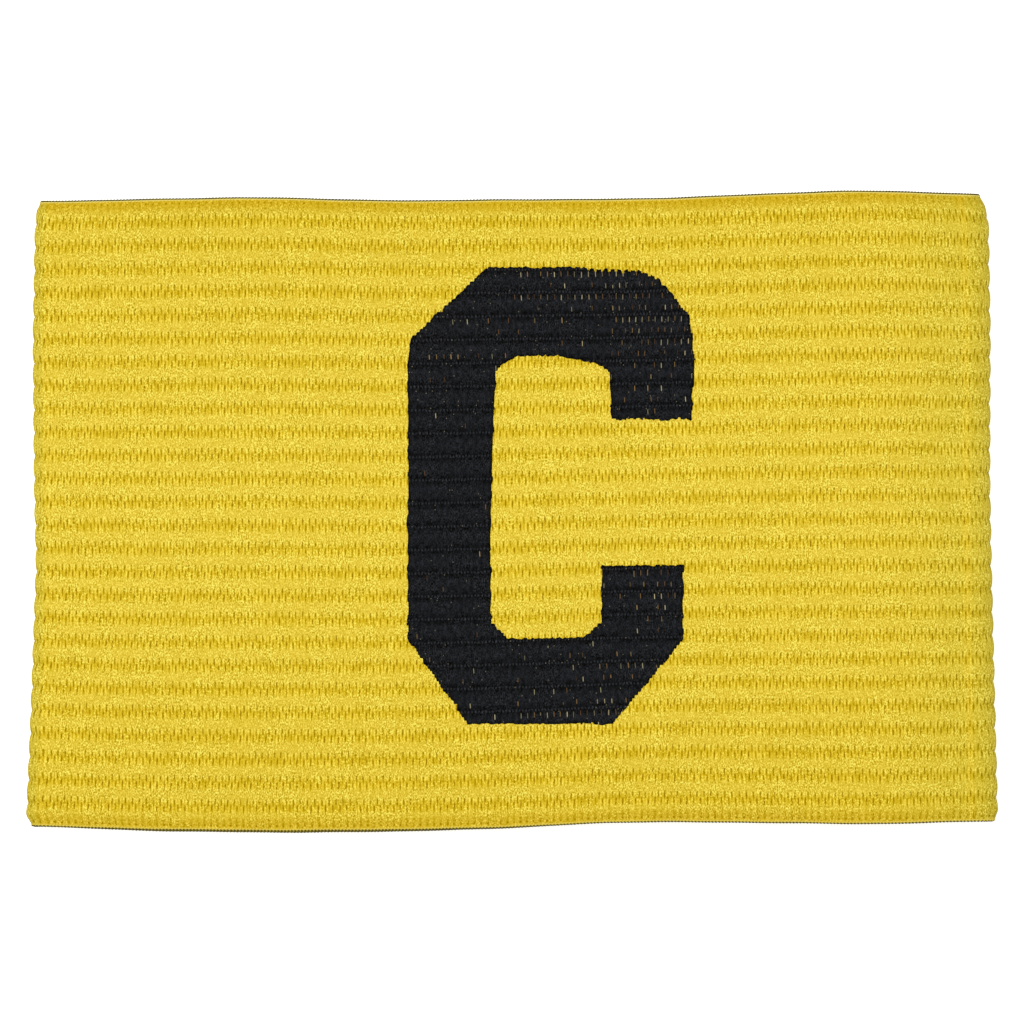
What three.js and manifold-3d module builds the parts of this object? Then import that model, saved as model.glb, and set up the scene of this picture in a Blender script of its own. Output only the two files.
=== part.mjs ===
// A team captain's armband: a loop of ribbed elastic cloth, pressed flat, with one block letter
// printed on its front. The loop lies on its back. X runs from fold to fold, Y from the lower
// selvage to the upper one, and Z up through the two layers. The origin is at the middle of the
// base. All sizes are in millimetres.
import * as THREE from "three";
import { mergeVertices } from "three/addons/utils/BufferGeometryUtils.js";
import Module from "manifold-3d";

const { mapLinear, lerp } = THREE.MathUtils;

// The loop of cloth
const FLAT_LENGTH = 155; // from fold to fold
const BAND_WIDTH = 101.25; // from selvage to selvage
const LEFT_FOLD_HEIGHT = 6.6; // over both layers, at the sharper fold
const RIGHT_FOLD_HEIGHT = 7.8; // over both layers, at the rounder fold
const CROWN_RISE = 1.8; // how far the front layer springs up between the folds
const CROWN_FLATNESS = 4; // the power of its curve: the higher, the flatter its middle
const WALL = 1.8; // one layer, from rib crest to rib crest
const SELVAGE_THICKNESS = 1.1;

// The ribs, which run round the loop
const RIB_PITCH = 3.75;
const GROOVE_DEPTH = 0.35; // on each face of the cloth
const CREST_SHARE = 0.56; // the flat top of a rib, of its pitch
const SELVAGE_SLOPE = 0.42; // of a rib's pitch, from the selvage to the first crest

// The join of the strip's two ends, in the middle of the back
const SEAM_WIDTH = 1.6;
const SEAM_DEPTH = 0.2; // on each face of the cloth

// The printed letter
const LETTER_WIDTH = 46.2;
const LETTER_HEIGHT = 73.8;
const LETTER_RIGHT_OF_MIDDLE = 6.1;
const LETTER_ABOVE_MIDDLE = 2.6;
const STEM_WIDTH = 13.6;
const TOP_BAR = 14.4;
const BOTTOM_BAR = 13.7;
const ARM_WIDTH = 13.2;
const UPPER_ARM_LENGTH = 24.7; // from the letter's top
const LOWER_ARM_LENGTH = 25.5; // from the letter's foot
const ARM_SET_BACK = 1.5; // how far the lower arm stays behind the upper one
const PRINT_THICKNESS = 0.3;
const PRINT_CLEARANCE = 0.3;

// How far each corner of the letter is cut off, outside and inside its bend
const LETTER_CORNERS = {
  topLeft: { outX: 12.2, outY: 11.8, inX: 3.4, inY: 3.0 },
  topRight: { outX: 7.5, outY: 9.0, inX: 5.5, inY: 3.6 },
  bottomRight: { outX: 11.3, outY: 13.0, inX: 2.8, inY: 3.2 },
  bottomLeft: { outX: 9.7, outY: 13.0, inX: 2.8, inY: 3.2 },
};

// How the selvages wander: along is a share of half the flat length, from the middle; top and
// bottom are shares of the band's width
const EDGE_WAVE = [
  { along: -1.0, top: -0.0056, bottom: 0.0 },
  { along: -0.75, top: -0.001, bottom: -0.007 },
  { along: -0.5, top: 0.0008, bottom: -0.0104 },
  { along: -0.25, top: -0.004, bottom: -0.0088 },
  { along: 0.0, top: -0.0024, bottom: -0.0024 },
  { along: 0.25, top: -0.0005, bottom: 0.006 },
  { along: 0.5, top: 0.0056, bottom: 0.0056 },
  { along: 0.75, top: 0.0104, bottom: 0.004 },
  { along: 1.0, top: 0.004, bottom: 0.009 },
];

// How far the folds reach: across is a share of the band's width, from the middle; left and
// right are shares of half the flat length
const FOLD_REACH = [
  { across: -0.5, left: 1.0, right: 1.002 },
  { across: -0.48, left: 1.012, right: 1.008 },
  { across: -0.33, left: 1.002, right: 1.007 },
  { across: -0.08, left: 0.99, right: 1.0 },
  { across: 0.05, left: 0.994, right: 0.995 },
  { across: 0.28, left: 0.998, right: 0.995 },
  { across: 0.46, left: 0.993, right: 0.99 },
  { across: 0.5, left: 0.975, right: 0.975 },
];

// Steps of the loft
const BACK_STEPS = 3; // on each side of the seam
const FOLD_STEPS = 6;
const FRONT_STEPS = 8;

const halfLength = FLAT_LENGTH / 2;
const halfWidth = BAND_WIDTH / 2;
const leftTurnX = -halfLength + LEFT_FOLD_HEIGHT / 2;
const rightTurnX = halfLength - RIGHT_FOLD_HEIGHT / 2;
const ribCount = Math.round(BAND_WIDTH / RIB_PITCH);
const ribWidth = BAND_WIDTH / ribCount;

// A table's column at a place, straight between its rows.
function readTable(rows, place, column, at) {
  const next = rows.findIndex((row) => row[place] > at);
  if (next === 0) return rows[0][column];
  if (next < 0) return rows[rows.length - 1][column];
  const [a, b] = [rows[next - 1], rows[next]];
  return mapLinear(at, a[place], b[place], a[column], b[column]);
}

// A place on the loop's middle line, with the way out of the cloth there. pinch is 1 in the seam.
const station = (x, z, outX, outZ, pinch = 0) => ({ x, z, outX, outZ, pinch });

// The back layer is flat on what it lies on, from one place to another.
function backStations(fromX, toX, steps) {
  return Array.from({ length: steps }, (_, i) => station(lerp(fromX, toX, i / steps), WALL / 2, 0, -1));
}

// A fold is half a round, from one angle to another.
function foldStations(turnX, height, fromAngle) {
  const radius = (height - WALL) / 2;
  return Array.from({ length: FOLD_STEPS }, (_, i) => {
    const angle = fromAngle + (Math.PI * i) / FOLD_STEPS;
    const [outX, outZ] = [Math.cos(angle), Math.sin(angle)];
    return station(turnX + radius * outX, height / 2 + radius * outZ, outX, outZ);
  });
}

// The front layer's middle line: straight from fold to fold, with the crown on top of that.
function frontHeight(x) {
  const share = mapLinear(x, leftTurnX, rightTurnX, -1, 1);
  const straight = mapLinear(share, -1, 1, LEFT_FOLD_HEIGHT, RIGHT_FOLD_HEIGHT);
  return straight - WALL / 2 + CROWN_RISE * (1 - Math.abs(share) ** CROWN_FLATNESS);
}

// The stations of the front stand square to its curve. The two where it meets the folds stand
// upright, as the folds' own do.
function frontStations() {
  const step = (leftTurnX - rightTurnX) / FRONT_STEPS;
  return Array.from({ length: FRONT_STEPS + 1 }, (_, i) => {
    const x = rightTurnX + i * step;
    const slope = (frontHeight(x + step) - frontHeight(x - step)) / (2 * step);
    const meetsFold = i === 0 || i === FRONT_STEPS;
    const out = new THREE.Vector2(meetsFold ? 0 : -slope, 1).normalize();
    return station(x, frontHeight(x), out.x, out.y);
  });
}

// All the way round: seam, back, right fold, front, left fold, back.
function loopStations() {
  const seamEdge = SEAM_WIDTH / 2;
  return [
    station(0, WALL / 2, 0, -1, 1),
    ...backStations(seamEdge, rightTurnX, BACK_STEPS),
    ...foldStations(rightTurnX, RIGHT_FOLD_HEIGHT, -Math.PI / 2),
    ...frontStations(),
    ...foldStations(leftTurnX, LEFT_FOLD_HEIGHT, Math.PI / 2).slice(1),
    ...backStations(leftTurnX, -seamEdge, BACK_STEPS),
    station(-seamEdge, WALL / 2, 0, -1),
  ];
}

// The outer face of the strip from selvage to selvage, as {across, lift} from its middle plane:
// a valley between ribs, and a flat crest on each.
function outerProfile() {
  const slope = (1 - CREST_SHARE) / 2;
  const points = [{ across: -halfWidth, lift: SELVAGE_THICKNESS / 2 }];
  for (let rib = 0; rib < ribCount; rib += 1) {
    const start = -halfWidth + rib * ribWidth;
    const crestStart = rib === 0 ? SELVAGE_SLOPE : slope;
    const crestEnd = 1 - (rib === ribCount - 1 ? SELVAGE_SLOPE : slope);
    if (rib > 0) points.push({ across: start, lift: WALL / 2 - GROOVE_DEPTH });
    points.push({ across: start + crestStart * ribWidth, lift: WALL / 2 });
    points.push({ across: start + crestEnd * ribWidth, lift: WALL / 2 });
  }
  points.push({ across: halfWidth, lift: SELVAGE_THICKNESS / 2 });
  return points;
}

// The inner face, which has one ridge to a rib.
function innerProfile() {
  const points = [{ across: halfWidth, lift: -SELVAGE_THICKNESS / 2 }];
  for (let rib = ribCount - 1; rib >= 0; rib -= 1) {
    const start = -halfWidth + rib * ribWidth;
    points.push({ across: start + ribWidth / 2, lift: -WALL / 2 });
    if (rib > 0) points.push({ across: start, lift: GROOVE_DEPTH - WALL / 2 });
  }
  points.push({ across: -halfWidth, lift: -SELVAGE_THICKNESS / 2 });
  return points;
}

// A point of the cloth: its place round the loop, across the strip and above the middle plane.
function clothPoint(at, across, lift) {
  const away = lift - at.pinch * SEAM_DEPTH * Math.sign(lift);
  const x = at.x + at.outX * away;
  const side = x < 0 ? "left" : "right";
  const reach = readTable(FOLD_REACH, "across", side, across / BAND_WIDTH);
  const low = readTable(EDGE_WAVE, "along", "bottom", x / halfLength);
  const high = readTable(EDGE_WAVE, "along", "top", x / halfLength);
  const rise = BAND_WIDTH * mapLinear(across, -halfWidth, halfWidth, low, high);
  return new THREE.Vector3(x * reach, across + rise, at.z + at.outZ * away);
}

// The faces between rings of points. A loft closes round each ring, and either joins its last
// ring to its first or has two end caps.
function loft(rings, closed) {
  const size = rings[0].length;
  const index = [];
  const corner = (i, j) => (i % rings.length) * size + (j % size);
  const face = (a, b, c, d) => index.push(a, b, c, a, c, d);
  for (let i = 0; i < rings.length - (closed ? 0 : 1); i += 1)
    for (let j = 0; j < size; j += 1)
      face(corner(i, j), corner(i, j + 1), corner(i + 1, j + 1), corner(i + 1, j));
  const last = rings.length - 1;
  for (let j = 0; !closed && j < size / 2 - 1; j += 1) {
    face(corner(0, j), corner(0, size - 1 - j), corner(0, size - 2 - j), corner(0, j + 1));
    face(corner(last, j), corner(last, j + 1), corner(last, size - 2 - j), corner(last, size - 1 - j));
  }
  return new THREE.BufferGeometry().setFromPoints(rings.flat()).setIndex(index);
}

// The whole strip of cloth, sewn into a loop.
function bandGeometry() {
  const profile = [...outerProfile(), ...innerProfile()];
  const rings = loopStations().map((at) => profile.map(({ across, lift }) => clothPoint(at, across, lift)));
  return loft(rings, true);
}

// A sheet as thick as the print, over the whole front, that keeps the ribs' form.
function printSheetGeometry() {
  const under = outerProfile().map(({ across, lift }) => ({ across, lift: lift + PRINT_CLEARANCE }));
  const over = under.map(({ across, lift }) => ({ across, lift: lift + PRINT_THICKNESS }));
  const section = [...over, ...under.reverse()];
  const rings = frontStations().map((at) => section.map(({ across, lift }) => clothPoint(at, across, lift)));
  return loft(rings, false);
}

// The letter's outline: a block C with its corners cut off, about its own middle.
function letterShape() {
  const { topLeft, topRight, bottomRight, bottomLeft } = LETTER_CORNERS;
  const [right, top] = [LETTER_WIDTH / 2, LETTER_HEIGHT / 2];
  const lowerRight = right - ARM_SET_BACK;
  const [innerTop, innerBottom] = [top - TOP_BAR, BOTTOM_BAR - top];
  const [innerLeft, upperInner, lowerInner] = [STEM_WIDTH - right, right - ARM_WIDTH, lowerRight - ARM_WIDTH];
  const corners = [
    [right, top - UPPER_ARM_LENGTH],
    [right, top - topRight.outY],
    [right - topRight.outX, top],
    [topLeft.outX - right, top],
    [-right, top - topLeft.outY],
    [-right, bottomLeft.outY - top],
    [bottomLeft.outX - right, -top],
    [lowerRight - bottomRight.outX, -top],
    [lowerRight, bottomRight.outY - top],
    [lowerRight, LOWER_ARM_LENGTH - top],
    [lowerInner, LOWER_ARM_LENGTH - top],
    [lowerInner, innerBottom + bottomRight.inY],
    [lowerInner - bottomRight.inX, innerBottom],
    [innerLeft + bottomLeft.inX, innerBottom],
    [innerLeft, innerBottom + bottomLeft.inY],
    [innerLeft, innerTop - topLeft.inY],
    [innerLeft + topLeft.inX, innerTop],
    [upperInner - topRight.inX, innerTop],
    [upperInner, innerTop - topRight.inY],
    [upperInner, top - UPPER_ARM_LENGTH],
  ];
  return new THREE.Shape(corners.map(([x, y]) => new THREE.Vector2(x, y)));
}

const wasm = await Module();
wasm.setup();

// A closed geometry as a solid that can be cut and joined.
function solidOf(geometry) {
  const bare = geometry.clone().deleteAttribute("normal").deleteAttribute("uv");
  const merged = mergeVertices(bare);
  const vertProperties = new Float32Array(merged.getAttribute("position").array);
  const triVerts = new Uint32Array(merged.index.array);
  return new wasm.Manifold(new wasm.Mesh({ numProp: 3, vertProperties, triVerts }));
}

function geometryOf(solid) {
  const { vertProperties, triVerts } = solid.getMesh();
  return new THREE.BufferGeometry()
    .setAttribute("position", new THREE.BufferAttribute(vertProperties, 3))
    .setIndex(new THREE.BufferAttribute(triVerts, 1));
}

// The print is the part of its sheet that lies inside the letter.
function letterGeometry() {
  const tallest = Math.max(LEFT_FOLD_HEIGHT, RIGHT_FOLD_HEIGHT) + CROWN_RISE;
  const depth = tallest + PRINT_CLEARANCE + PRINT_THICKNESS;
  const cutter = new THREE.ExtrudeGeometry(letterShape(), { depth, bevelEnabled: false });
  cutter.translate(LETTER_RIGHT_OF_MIDDLE, LETTER_ABOVE_MIDDLE, 0);
  return geometryOf(solidOf(printSheetGeometry()).intersect(solidOf(cutter)));
}

const elastic = new THREE.MeshStandardMaterial({ color: "#e8cc44", roughness: 0.75, metalness: 0 });
const ink = new THREE.MeshStandardMaterial({ color: "#1d1e21", roughness: 0.7, metalness: 0 });

const band = new THREE.Mesh(bandGeometry(), elastic);
band.name = "band";

const letter = new THREE.Mesh(letterGeometry(), ink);
letter.name = "letter_print";

// The folds and selvages aren't even, so the middle of the base is measured on the band.
band.geometry.computeBoundingBox();
const middle = band.geometry.boundingBox.getCenter(new THREE.Vector3());

const armband = new THREE.Group();
armband.add(band, letter);
armband.position.set(-middle.x, -middle.y, 0);

export default armband;
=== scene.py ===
# %% [markdown]
# # A team captain's armband
# The real armband is a wide strip of ribbed, knitted elastic whose ends are joined, so it is a
# loop that is pulled over a sleeve. A block letter is printed on its front. Here it lies pressed
# flat on a pale table, seen from straight above.
#
# Every lesson makes one piece or one finish. Shapes are worked out as whole arrays and put into a
# mesh at the end. All sizes are in metres.

import bpy
import numpy as np
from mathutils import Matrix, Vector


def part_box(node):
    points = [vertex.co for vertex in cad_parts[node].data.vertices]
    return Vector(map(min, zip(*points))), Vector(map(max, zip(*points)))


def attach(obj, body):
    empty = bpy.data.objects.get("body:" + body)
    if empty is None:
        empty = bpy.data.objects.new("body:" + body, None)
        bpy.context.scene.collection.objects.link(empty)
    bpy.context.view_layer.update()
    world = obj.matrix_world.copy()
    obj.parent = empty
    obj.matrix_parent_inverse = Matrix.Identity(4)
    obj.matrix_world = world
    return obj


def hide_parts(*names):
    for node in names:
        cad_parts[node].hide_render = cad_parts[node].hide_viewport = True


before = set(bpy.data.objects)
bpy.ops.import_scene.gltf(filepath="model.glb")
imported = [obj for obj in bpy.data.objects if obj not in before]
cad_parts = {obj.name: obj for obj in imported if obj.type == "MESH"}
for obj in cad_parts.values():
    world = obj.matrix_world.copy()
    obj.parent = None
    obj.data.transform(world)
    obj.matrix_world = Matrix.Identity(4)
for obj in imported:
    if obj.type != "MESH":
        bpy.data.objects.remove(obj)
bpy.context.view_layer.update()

# %% [markdown]
# ## The loop and its sizes
# Seen from the selvage, the loop's middle line has four parts: the back lies on the table, a fold
# turns up at each end, the right one rounder, and the front springs up a little between them. The
# sizes are those of the frame's own solid.

# %% Sizes of the loop
FLAT_LENGTH = 0.155  # from fold to fold
BAND_WIDTH = 0.10125  # from selvage to selvage
LEFT_FOLD_HEIGHT = 0.0066  # over both layers
RIGHT_FOLD_HEIGHT = 0.0078
CROWN_RISE = 0.0018  # of the front, between the folds
CROWN_FLATNESS = 4  # the power of the crown's curve
WALL = 0.0018  # one layer, from rib crest to rib crest
SEAM_WIDTH = 0.0016  # the join, in the middle of the back
SEAM_DEPTH = 0.0002

half_length = FLAT_LENGTH / 2
half_width = BAND_WIDTH / 2
left_turn_x = LEFT_FOLD_HEIGHT / 2 - half_length
right_turn_x = half_length - RIGHT_FOLD_HEIGHT / 2

# %% The middle line of the loop
def back_line(start, end, steps):
    """The back's line: x runs evenly, z is half a wall, and outwards is straight down.
    The seam pinches it: a raised cosine over the seam's width."""
    x = np.linspace(start, end, steps, endpoint=False)
    near = np.clip(np.abs(x) / (SEAM_WIDTH / 2), 0, 1)
    pinch = (1 + np.cos(np.pi * near)) / 2
    return np.column_stack([x, 0 * x + WALL / 2, 0 * x, 0 * x - 1, pinch])


def fold_line(turn_x, height, start_angle, steps):
    """A fold's line: half a circle whose radius is half the height less half a wall. Outwards is
    along the radius."""
    angle = start_angle + np.pi * np.arange(steps) / steps
    radius = (height - WALL) / 2
    x, z = turn_x + radius * np.cos(angle), height / 2 + radius * np.sin(angle)
    return np.column_stack([x, z, np.cos(angle), np.sin(angle), 0 * angle])


def front_height(x):
    """The front's height: straight from fold to fold, plus the crown's rise times one less a
    power of the way from the middle."""
    share = np.interp(x, [left_turn_x, right_turn_x], [-1, 1])
    straight = np.interp(share, [-1, 1], [LEFT_FOLD_HEIGHT, RIGHT_FOLD_HEIGHT]) - WALL / 2
    return straight + CROWN_RISE * (1 - np.abs(share) ** CROWN_FLATNESS)


def front_line(x):
    """The front's line over the given x. Outwards stands square to its slope."""
    step = 0.0001
    slope = (front_height(x + step) - front_height(x - step)) / (2 * step)
    size = np.hypot(slope, 1)
    return np.column_stack([x, front_height(x), -slope / size, 1 / size, 0 * x])


def loop_line(spacing):
    """The whole loop, from the seam over the right fold, the front and the left fold: a row for
    each point, as x, z, outwards x, outwards z and pinch."""
    seam_edge = SEAM_WIDTH / 2
    seam_steps = max(3, round(seam_edge / spacing))
    back_steps = round(right_turn_x / spacing)
    fold_steps = max(18, round(np.pi * RIGHT_FOLD_HEIGHT / 2 / spacing))
    front_x = np.linspace(right_turn_x, left_turn_x, round(FLAT_LENGTH / spacing))
    return np.vstack([
        back_line(0, seam_edge, seam_steps),
        back_line(seam_edge, right_turn_x, back_steps),
        fold_line(right_turn_x, RIGHT_FOLD_HEIGHT, -np.pi / 2, fold_steps),
        front_line(front_x),
        fold_line(left_turn_x, LEFT_FOLD_HEIGHT, np.pi / 2, fold_steps)[1:],
        back_line(left_turn_x, -seam_edge, back_steps),
        back_line(-seam_edge, 0, seam_steps),
    ])


def line_arc(line):
    """How far along the loop each point lies, and last the whole way round."""
    step = np.roll(line[:, :2], -1, axis=0) - line[:, :2]
    return np.concatenate([[0], np.cumsum(np.hypot(step[:, 0], step[:, 1]))])


CLOTH_SPACING = 0.00175  # between two points along the loop
cloth_line = loop_line(CLOTH_SPACING)
cloth_arc = line_arc(cloth_line)
loop_length = cloth_arc[-1]
print("loop:", len(cloth_line), "points,", round(loop_length * 1000, 1), "mm round")

# %% [markdown]
# ## How the real cloth lies
# The selvages wander by up to a millimetre, and the folds reach a little further at the foot. The
# front's selvages lie a hair inside the back's, which shows as a dark line. Two short tables hold
# that: the tucks in millimetres, the rest as shares of the band's sizes. Blurring rounds them.

# %% Tables of selvages and folds
EDGE_WAVE = {
    "along": np.linspace(-1, 1, 9),
    "top": [-0.007, -0.0033, -0.0004, -0.0069, -0.0036, -0.0036, 0.0041, 0.0113, 0.0032],
    "bottom": [-0.0006, -0.01, -0.012, -0.011, -0.005, 0.0069, 0.0054, 0.0027, 0.0077],
    "top_tuck": [0.05, 0.05, 0.05, 0.05, 0.1, 0.1, 0.08, 0.08, 0.05],
    "bottom_tuck": [0.05, 0.36, 0.4, 0.4, 0.28, 0.05, 0.03, 0.03, 0.05],
}
FOLD_REACH = {
    "across": [-0.5, -0.48, -0.33, -0.08, 0.05, 0.28, 0.46, 0.5],
    "left": [1.006, 1.013, 1.0045, 0.993, 0.997, 0.9995, 0.995, 0.988],
    "right": [1.0105, 1.0115, 1.0065, 0.9985, 0.9955, 0.9965, 0.9925, 0.9775],
}
TABLE_STEPS = 800


def smooth_table(table, place, column, blur):
    """A table's column as a curve: read at many even places, then averaged over a window of the
    given share of its length."""
    places = np.linspace(table[place][0], table[place][-1], TABLE_STEPS + 1)
    straight = np.interp(places, table[place], table[column])
    width = 2 * int(TABLE_STEPS / 2 * blur) + 1
    padded = np.pad(straight, width // 2, mode="edge")
    return places, np.convolve(padded, np.ones(width) / width, mode="valid")


top_wave, bottom_wave, top_tuck, bottom_tuck = (
    smooth_table(EDGE_WAVE, "along", name, 0.1) for name in list(EDGE_WAVE)[1:])
left_reach, right_reach = (
    smooth_table(FOLD_REACH, "across", name, 0.012) for name in ("left", "right"))

# %% Lay the cloth
WANDER = 0.00005  # how far a rib strays from its even place
RIPPLE = 0.00022  # how far the front rises and dips
WANDER_WAVES = [[0.019, 0.4, 0.0041], [0.031, 2.1, 0.0093], [0.011, 4.4, 0.0027]]
RIPPLE_WAVES = [[0.043, 0.9, 0.031], [0.027, 3.7, 0.055], [0.071, 5.2, 0.022]]


def waves(rows, x, y):
    """The mean of a few sines. Each row is a wave's length along x, its phase, and its length
    along y, over which the phase turns once."""
    return sum(np.sin(2 * np.pi * (x / a + y / c) + b) for a, b, c in rows) / len(rows)


def lay_cloth(line, across, lift):
    """The cloth's places: a row for each point of the line, a column for each of the section.
    A place is the line's point plus outwards times lift, less the seam's pinch. x is multiplied
    by the fold's reach, less and less towards the middle by the cube of the way. y is raised by
    the selvages' waves, shared out between them, and the front layer is tucked in and ripples."""
    x0, z0, out_x, out_z, pinch = (line[:, k : k + 1] for k in range(5))
    away = lift - pinch * SEAM_DEPTH * np.sign(lift)
    x, z = x0 + out_x * away, z0 + out_z * away
    share = across / BAND_WIDTH + 0 * x
    reach = np.where(x < 0, np.interp(share, *left_reach), np.interp(share, *right_reach))
    low = np.interp(x / half_length, *bottom_wave)
    high = np.interp(x / half_length, *top_wave)
    rise = BAND_WIDTH * (low * (0.5 - share) + high * (0.5 + share))
    front_share = np.clip(out_z, 0, 1)
    flat = front_share * (1 - np.clip(np.abs(x) / half_length, 0, 1) ** CROWN_FLATNESS)
    tuck = (np.interp(x / half_length, *bottom_tuck) * (0.5 - share)
            - np.interp(x / half_length, *top_tuck) * (0.5 + share)) / 1000
    y = across + rise + front_share * tuck + WANDER * waves(WANDER_WAVES, x, across)
    z = z + RIPPLE * flat * waves(RIPPLE_WAVES, x, across)
    x = x * (1 + (reach - 1) * np.abs(x / half_length) ** 3)
    return np.stack([x, y, z], axis=-1)


# %% [markdown]
# ## The strip's section
# Ribbed elastic is thin at its selvages. Seen end on, each rib is a low round back, and two ribs
# meet in a narrow groove. The inner face has the same ribs.

# %% The strip's section
RIB_PITCH = 0.00375
GROOVE_DEPTH = 0.00032
RIB_ROUNDNESS = 0.7  # the power of the rib's sine: the lower, the flatter its back
SELVAGE_THICKNESS = 0.001
SELVAGE_RUN = 0.0017  # from the selvage to the full height of the first rib
SELVAGE_END = 0.0004  # how far in the round end reaches
ROUND_STEPS = 7
OUTER_SHARES = [0, 0.05, 0.12, 0.22, 0.36, 0.5, 0.64, 0.78, 0.88, 0.95]
INNER_SHARES = [0, 0.12, 0.36, 0.64, 0.88]

rib_count = round(BAND_WIDTH / RIB_PITCH)
rib_width = BAND_WIDTH / rib_count


def face_lift(across):
    """How far the outer face lies over the strip's middle plane: the crest less the groove's
    depth times one less a power of the sine of the way over the rib. The outer half of the last
    rib runs down to the selvage in an S curve instead."""
    sine = np.sin(np.pi * ((across / rib_width + rib_count / 2) % 1))
    rib = WALL / 2 - GROOVE_DEPTH * (1 - sine**RIB_ROUNDNESS)
    edge = half_width - np.abs(across)
    way = np.clip((edge - SELVAGE_END) / (SELVAGE_RUN - SELVAGE_END), 0, 1)
    curve = way * way * (3 - 2 * way)
    selvage = SELVAGE_THICKNESS / 2 + (WALL - SELVAGE_THICKNESS) / 2 * curve
    return np.where(edge < rib_width / 2, selvage, rib)


def face_places(shares):
    """Where a face has its points: the given shares of every rib, save in a round end."""
    ribs = np.arange(rib_count)[:, None]
    across = ((ribs + shares) * rib_width).ravel() - half_width
    return across[np.abs(across) <= half_width - SELVAGE_END]


def strip_section():
    """The closed section, from the lower selvage over the outer face and back over the inner
    one, as each point's place across and its lift."""
    outer, inner = face_places(OUTER_SHARES), face_places(INNER_SHARES)[::-1]
    angle = np.linspace(np.pi / 2, -np.pi / 2, ROUND_STEPS)
    round_across = half_width - SELVAGE_END + SELVAGE_END * np.cos(angle)
    round_lift = SELVAGE_THICKNESS / 2 * np.sin(angle)
    across = np.concatenate([outer, round_across, inner, -round_across[::-1]])
    lift = np.concatenate([face_lift(outer), round_lift, -face_lift(inner), -round_lift])
    return across, lift


section_across, section_lift = strip_section()
print("section:", rib_count, "ribs,", len(section_across), "points")

# %% [markdown]
# ## The band
# The band is the section carried round the loop, a closed ring with no end, so each point's place
# comes from one sum. A second map lays the strip out flat for baking.

# %% Helpers that put arrays into a mesh
def grid_faces(rows, columns):
    """The faces of a grid that closes both ways: each joins a point with the next in its row and
    the two beside them in the next row."""
    i, j = np.meshgrid(np.arange(rows), np.arange(columns), indexing="ij")
    here, next_j = i * columns, (j + 1) % columns
    there = ((i + 1) % rows) * columns
    return np.stack([here + j, here + next_j, there + next_j, there + j], -1).reshape(-1, 4)


def grid_map(first, second):
    """A map for such a grid, corner by corner, from two values for each point. They have a row
    and a column more than the grid, so the last face of a ring doesn't run back to the start."""
    places = np.stack(np.broadcast_arrays(first, second), -1)
    corners = [places[:-1, :-1], places[:-1, 1:], places[1:, 1:], places[1:, :-1]]
    return np.stack(corners, 2).reshape(-1, 2)


def place_object(name, data):
    """An object that shows the given data, in the scene."""
    item = bpy.data.objects.new(name, data)
    bpy.context.scene.collection.objects.link(item)
    return item


def make_piece(name, points, faces, maps):
    """A smooth mesh object from an array of points, an array of faces and its maps."""
    mesh = bpy.data.meshes.new(name)
    mesh.from_pydata(points.reshape(-1, 3).tolist(), [], faces.tolist())
    for map_name, corners in maps.items():
        layer = mesh.uv_layers.new(name=map_name)
        layer.data.foreach_set("uv", corners.astype(np.float32).ravel())
    mesh.shade_smooth()
    print(name, len(mesh.vertices), "points,", len(mesh.polygons), "faces")
    return place_object(name, mesh)


def carry(piece, name, values):
    """Gives a piece a value for each of its points."""
    layer = piece.data.attributes.new(name, "FLOAT", "POINT")
    layer.data.foreach_set("value", values.astype(np.float32).ravel())


# %% [markdown]
# ## The knit's own places
# Every finish needs to know which stitch it is on, so the pieces carry a weave map: across it
# counts knitted wales round the loop, and up it counts ribs. Wales are never quite straight, and
# the map drifts with them.

# %% The weave map
WALE_WIDTH = 0.00108
DRIFT = 0.35  # of a wale
DRIFT_WAVES = [[loop_length / 9, 1.1, 0.047], [loop_length / 14, 3.9, 0.081],
               [loop_length / 5, 0.3, 0.033]]

wale_count = round(loop_length / WALE_WIDTH)
wale_width = loop_length / wale_count


def weave(arc, across):
    """Where a place lies in the knit: the way round the loop in wales, plus a drift of sines that
    fit the loop a whole number of times, and the way up in ribs."""
    wale = arc / wale_width + DRIFT * waves(DRIFT_WAVES, arc, across)
    return wale, across / rib_width + rib_count / 2 + 0 * wale


# %% The band
BAKE_MARGIN = 0.002  # of the map, kept free at its edges

band_points = lay_cloth(cloth_line, section_across, section_lift)
node_box = [np.array(corner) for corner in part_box("band")]
points_box = [band_points.reshape(-1, 3).min(0), band_points.reshape(-1, 3).max(0)]
to_frame = (sum(node_box) - sum(points_box)) / 2 * [1, 1, 0]

section_step = np.hypot(np.diff(section_across, append=section_across[0]),
                        np.diff(section_lift, append=section_lift[0]))
section_way = np.concatenate([[0], np.cumsum(section_step)])
bake_u = BAKE_MARGIN + (1 - 2 * BAKE_MARGIN) * cloth_arc / loop_length
bake_v = BAKE_MARGIN + (1 - 2 * BAKE_MARGIN) * section_way / section_way[-1]
band = make_piece(
    "band_cloth",
    band_points + to_frame,
    grid_faces(len(cloth_line), len(section_across)),
    {
        "weave": grid_map(*weave(cloth_arc[:, None], np.append(section_across, section_across[0]))),
        "OFBake": grid_map(bake_u[:, None], bake_v),
    },
)
print("wales:", wale_count, "of", round(wale_width * 1000, 3), "mm")

# %% [markdown]
# ## The selvages
# Each selvage ends in a chain of small knitted loops, two to a wale, which shows as a toothed lip.
# A cord with an oval section is carried round the loop, and it swells once for every loop of yarn,
# slantwise round the cord.

# %% The selvage cords
CHAIN_PITCH = wale_width / 2
CORD_REACH = 0.00032  # half its width across the strip
CORD_HEIGHT = 0.0005  # half its height through the cloth
CORD_INSET = 0.00022  # from the strip's edge to the cord's middle
CORD_SWELL = 0.17
CORD_SIDES = 10
CHAIN_STEPS = 5  # points to a loop of the chain

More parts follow.
